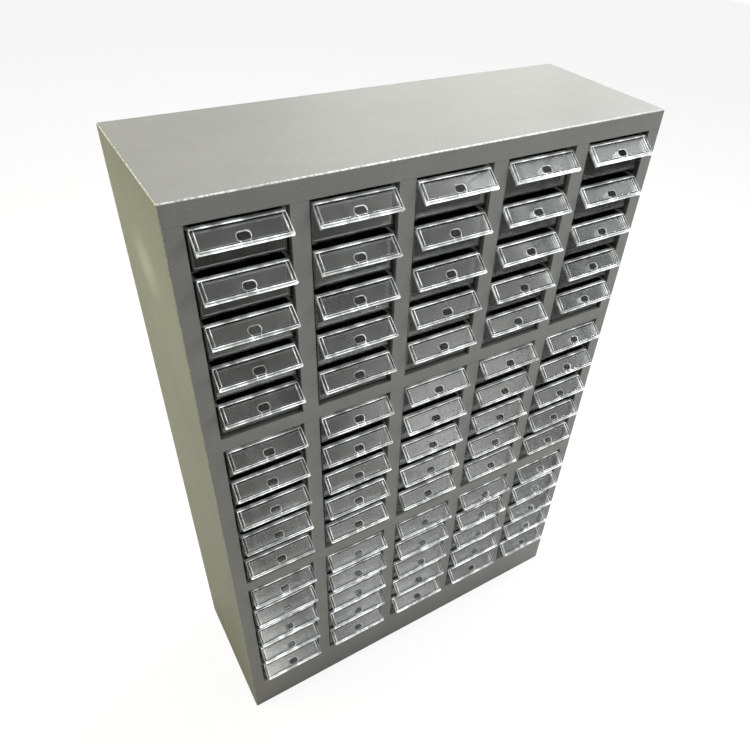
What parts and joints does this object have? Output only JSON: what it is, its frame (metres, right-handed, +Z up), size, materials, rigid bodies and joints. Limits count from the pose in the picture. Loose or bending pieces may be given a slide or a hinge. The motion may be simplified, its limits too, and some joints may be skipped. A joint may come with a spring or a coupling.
{
  "type": "small parts drawer cabinet",
  "caption": "Tall free-standing folded sheet-steel cabinet holding a grid of small clear plastic drawers with sloping finger flaps, each sliding out at the front.",
  "frame": {"origin": "on the floor at the centre of the case's footprint, halfway across its width and halfway through the depth of the steel case, the flaps not counted", "axes": "+Z up, the drawer fronts face -Y, +X is to the right of someone facing the fronts"},
  "size_m": [0.6, 0.2255, 0.882],
  "materials": {
    "grey_powder_coat": "fine-textured grey powder coat",
    "clear_plastic": "clear glossy moulded plastic",
    "rivet_metal": "bare pull rivets"
  },
  "bodies": {
    "cabinet": {"case_wrap": "grey_powder_coat", "back_panel": "grey_powder_coat", "back_rivets": "rivet_metal", "bottom_pan": "grey_powder_coat", "kick_floor": "grey_powder_coat", "bank_shelves": "grey_powder_coat", "column_dividers": "grey_powder_coat", "side_liners": "grey_powder_coat", "runners_column_1": "grey_powder_coat", "runners_column_2": "grey_powder_coat", "runners_column_3": "grey_powder_coat", "runners_column_4": "grey_powder_coat", "runners_column_5": "grey_powder_coat"},
    "drawer_r01_c1": {"drawer_r01_c1": "clear_plastic"},
    "drawer_r01_c2": {"drawer_r01_c2": "clear_plastic"},
    "drawer_r01_c3": {"drawer_r01_c3": "clear_plastic"},
    "drawer_r01_c4": {"drawer_r01_c4": "clear_plastic"},
    "drawer_r01_c5": {"drawer_r01_c5": "clear_plastic"},
    "drawer_r02_c1": {"drawer_r02_c1": "clear_plastic"},
    "drawer_r02_c2": {"drawer_r02_c2": "clear_plastic"},
    "drawer_r02_c3": {"drawer_r02_c3": "clear_plastic"},
    "drawer_r02_c4": {"drawer_r02_c4": "clear_plastic"},
    "drawer_r02_c5": {"drawer_r02_c5": "clear_plastic"},
    "drawer_r03_c1": {"drawer_r03_c1": "clear_plastic"},
    "drawer_r03_c2": {"drawer_r03_c2": "clear_plastic"},
    "drawer_r03_c3": {"drawer_r03_c3": "clear_plastic"},
    "drawer_r03_c4": {"drawer_r03_c4": "clear_plastic"},
    "drawer_r03_c5": {"drawer_r03_c5": "clear_plastic"},
    "drawer_r04_c1": {"drawer_r04_c1": "clear_plastic"},
    "drawer_r04_c2": {"drawer_r04_c2": "clear_plastic"},
    "drawer_r04_c3": {"drawer_r04_c3": "clear_plastic"},
    "drawer_r04_c4": {"drawer_r04_c4": "clear_plastic"},
    "drawer_r04_c5": {"drawer_r04_c5": "clear_plastic"},
    "drawer_r05_c1": {"drawer_r05_c1": "clear_plastic"},
    "drawer_r05_c2": {"drawer_r05_c2": "clear_plastic"},
    "drawer_r05_c3": {"drawer_r05_c3": "clear_plastic"},
    "drawer_r05_c4": {"drawer_r05_c4": "clear_plastic"},
    "drawer_r05_c5": {"drawer_r05_c5": "clear_plastic"},
    "drawer_r06_c1": {"drawer_r06_c1": "clear_plastic"},
    "drawer_r06_c2": {"drawer_r06_c2": "clear_plastic"},
    "drawer_r06_c3": {"drawer_r06_c3": "clear_plastic"},
    "drawer_r06_c4": {"drawer_r06_c4": "clear_plastic"},
    "drawer_r06_c5": {"drawer_r06_c5": "clear_plastic"},
    "drawer_r07_c1": {"drawer_r07_c1": "clear_plastic"},
    "drawer_r07_c2": {"drawer_r07_c2": "clear_plastic"},
    "drawer_r07_c3": {"drawer_r07_c3": "clear_plastic"},
    "drawer_r07_c4": {"drawer_r07_c4": "clear_plastic"},
    "drawer_r07_c5": {"drawer_r07_c5": "clear_plastic"},
    "drawer_r08_c1": {"drawer_r08_c1": "clear_plastic"},
    "drawer_r08_c2": {"drawer_r08_c2": "clear_plastic"},
    "drawer_r08_c3": {"drawer_r08_c3": "clear_plastic"},
    "drawer_r08_c4": {"drawer_r08_c4": "clear_plastic"},
    "drawer_r08_c5": {"drawer_r08_c5": "clear_plastic"},
    "drawers_row_09": {"drawers_row_09": "clear_plastic"},
    "drawers_row_10": {"drawers_row_10": "clear_plastic"},
    "drawers_row_11": {"drawers_row_11": "clear_plastic"},
    "drawers_row_12": {"drawers_row_12": "clear_plastic"},
    "drawers_row_13": {"drawers_row_13": "clear_plastic"},
    "drawers_row_14": {"drawers_row_14": "clear_plastic"},
    "drawers_row_15": {"drawers_row_15": "clear_plastic"}
  },
  "joints": [
    {"name": "slide_r01_c1", "type": "slide", "parent": "cabinet", "child": "drawer_r01_c1", "axis": [0, -1, 0], "range_m": [0, 0.15]},
    {"name": "slide_r01_c2", "type": "slide", "parent": "cabinet", "child": "drawer_r01_c2", "axis": [0, -1, 0], "range_m": [0, 0.15]},
    {"name": "slide_r01_c3", "type": "slide", "parent": "cabinet", "child": "drawer_r01_c3", "axis": [0, -1, 0], "range_m": [0, 0.15]},
    {"name": "slide_r01_c4", "type": "slide", "parent": "cabinet", "child": "drawer_r01_c4", "axis": [0, -1, 0], "range_m": [0, 0.15]},
    {"name": "slide_r01_c5", "type": "slide", "parent": "cabinet", "child": "drawer_r01_c5", "axis": [0, -1, 0], "range_m": [0, 0.15]},
    {"name": "slide_r02_c1", "type": "slide", "parent": "cabinet", "child": "drawer_r02_c1", "axis": [0, -1, 0], "range_m": [0, 0.15]},
    {"name": "slide_r02_c2", "type": "slide", "parent": "cabinet", "child": "drawer_r02_c2", "axis": [0, -1, 0], "range_m": [0, 0.15]},
    {"name": "slide_r02_c3", "type": "slide", "parent": "cabinet", "child": "drawer_r02_c3", "axis": [0, -1, 0], "range_m": [0, 0.15]},
    {"name": "slide_r02_c4", "type": "slide", "parent": "cabinet", "child": "drawer_r02_c4", "axis": [0, -1, 0], "range_m": [0, 0.15]},
    {"name": "slide_r02_c5", "type": "slide", "parent": "cabinet", "child": "drawer_r02_c5", "axis": [0, -1, 0], "range_m": [0, 0.15]},
    {"name": "slide_r03_c1", "type": "slide", "parent": "cabinet", "child": "drawer_r03_c1", "axis": [0, -1, 0], "range_m": [0, 0.15]},
    {"name": "slide_r03_c2", "type": "slide", "parent": "cabinet", "child": "drawer_r03_c2", "axis": [0, -1, 0], "range_m": [0, 0.15]},
    {"name": "slide_r03_c3", "type": "slide", "parent": "cabinet", "child": "drawer_r03_c3", "axis": [0, -1, 0], "range_m": [0, 0.15]},
    {"name": "slide_r03_c4", "type": "slide", "parent": "cabinet", "child": "drawer_r03_c4", "axis": [0, -1, 0], "range_m": [0, 0.15]},
    {"name": "slide_r03_c5", "type": "slide", "parent": "cabinet", "child": "drawer_r03_c5", "axis": [0, -1, 0], "range_m": [0, 0.15]},
    {"name": "slide_r04_c1", "type": "slide", "parent": "cabinet", "child": "drawer_r04_c1", "axis": [0, -1, 0], "range_m": [0, 0.15]},
    {"name": "slide_r04_c2", "type": "slide", "parent": "cabinet", "child": "drawer_r04_c2", "axis": [0, -1, 0], "range_m": [0, 0.15]},
    {"name": "slide_r04_c3", "type": "slide", "parent": "cabinet", "child": "drawer_r04_c3", "axis": [0, -1, 0], "range_m": [0, 0.15]},
    {"name": "slide_r04_c4", "type": "slide", "parent": "cabinet", "child": "drawer_r04_c4", "axis": [0, -1, 0], "range_m": [0, 0.15]},
    {"name": "slide_r04_c5", "type": "slide", "parent": "cabinet", "child": "drawer_r04_c5", "axis": [0, -1, 0], "range_m": [0, 0.15]},
    {"name": "slide_r05_c1", "type": "slide", "parent": "cabinet", "child": "drawer_r05_c1", "axis": [0, -1, 0], "range_m": [0, 0.15]},
    {"name": "slide_r05_c2", "type": "slide", "parent": "cabinet", "child": "drawer_r05_c2", "axis": [0, -1, 0], "range_m": [0, 0.15]},
    {"name": "slide_r05_c3", "type": "slide", "parent": "cabinet", "child": "drawer_r05_c3", "axis": [0, -1, 0], "range_m": [0, 0.15]},
    {"name": "slide_r05_c4", "type": "slide", "parent": "cabinet", "child": "drawer_r05_c4", "axis": [0, -1, 0], "range_m": [0, 0.15]},
    {"name": "slide_r05_c5", "type": "slide", "parent": "cabinet", "child": "drawer_r05_c5", "axis": [0, -1, 0], "range_m": [0, 0.15]},
    {"name": "slide_r06_c1", "type": "slide", "parent": "cabinet", "child": "drawer_r06_c1", "axis": [0, -1, 0], "range_m": [0, 0.15]},
    {"name": "slide_r06_c2", "type": "slide", "parent": "cabinet", "child": "drawer_r06_c2", "axis": [0, -1, 0], "range_m": [0, 0.15]},
    {"name": "slide_r06_c3", "type": "slide", "parent": "cabinet", "child": "drawer_r06_c3", "axis": [0, -1, 0], "range_m": [0, 0.15]},
    {"name": "slide_r06_c4", "type": "slide", "parent": "cabinet", "child": "drawer_r06_c4", "axis": [0, -1, 0], "range_m": [0, 0.15]},
    {"name": "slide_r06_c5", "type": "slide", "parent": "cabinet", "child": "drawer_r06_c5", "axis": [0, -1, 0], "range_m": [0, 0.15]},
    {"name": "slide_r07_c1", "type": "slide", "parent": "cabinet", "child": "drawer_r07_c1", "axis": [0, -1, 0], "range_m": [0, 0.15]},
    {"name": "slide_r07_c2", "type": "slide", "parent": "cabinet", "child": "drawer_r07_c2", "axis": [0, -1, 0], "range_m": [0, 0.15]},
    {"name": "slide_r07_c3", "type": "slide", "parent": "cabinet", "child": "drawer_r07_c3", "axis": [0, -1, 0], "range_m": [0, 0.15]},
    {"name": "slide_r07_c4", "type": "slide", "parent": "cabinet", "child": "drawer_r07_c4", "axis": [0, -1, 0], "range_m": [0, 0.15]},
    {"name": "slide_r07_c5", "type": "slide", "parent": "cabinet", "child": "drawer_r07_c5", "axis": [0, -1, 0], "range_m": [0, 0.15]},
    {"name": "slide_r08_c1", "type": "slide", "parent": "cabinet", "child": "drawer_r08_c1", "axis": [0, -1, 0], "range_m": [0, 0.15]},
    {"name": "slide_r08_c2", "type": "slide", "parent": "cabinet", "child": "drawer_r08_c2", "axis": [0, -1, 0], "range_m": [0, 0.15]},
    {"name": "slide_r08_c3", "type": "slide", "parent": "cabinet", "child": "drawer_r08_c3", "axis": [0, -1, 0], "range_m": [0, 0.15]},
    {"name": "slide_r08_c4", "type": "slide", "parent": "cabinet", "child": "drawer_r08_c4", "axis": [0, -1, 0], "range_m": [0, 0.15]},
    {"name": "slide_r08_c5", "type": "slide", "parent": "cabinet", "child": "drawer_r08_c5", "axis": [0, -1, 0], "range_m": [0, 0.15]},
    {"name": "slide_row_09", "type": "slide", "parent": "cabinet", "child": "drawers_row_09", "axis": [0, -1, 0], "range_m": [0, 0.15]},
    {"name": "slide_row_10", "type": "slide", "parent": "cabinet", "child": "drawers_row_10", "axis": [0, -1, 0], "range_m": [0, 0.15]},
    {"name": "slide_row_11", "type": "slide", "parent": "cabinet", "child": "drawers_row_11", "axis": [0, -1, 0], "range_m": [0, 0.15]},
    {"name": "slide_row_12", "type": "slide", "parent": "cabinet", "child": "drawers_row_12", "axis": [0, -1, 0], "range_m": [0, 0.15]},
    {"name": "slide_row_13", "type": "slide", "parent": "cabinet", "child": "drawers_row_13", "axis": [0, -1, 0], "range_m": [0, 0.15]},
    {"name": "slide_row_14", "type": "slide", "parent": "cabinet", "child": "drawers_row_14", "axis": [0, -1, 0], "range_m": [0, 0.15]},
    {"name": "slide_row_15", "type": "slide", "parent": "cabinet", "child": "drawers_row_15", "axis": [0, -1, 0], "range_m": [0, 0.15]}
  ]
}
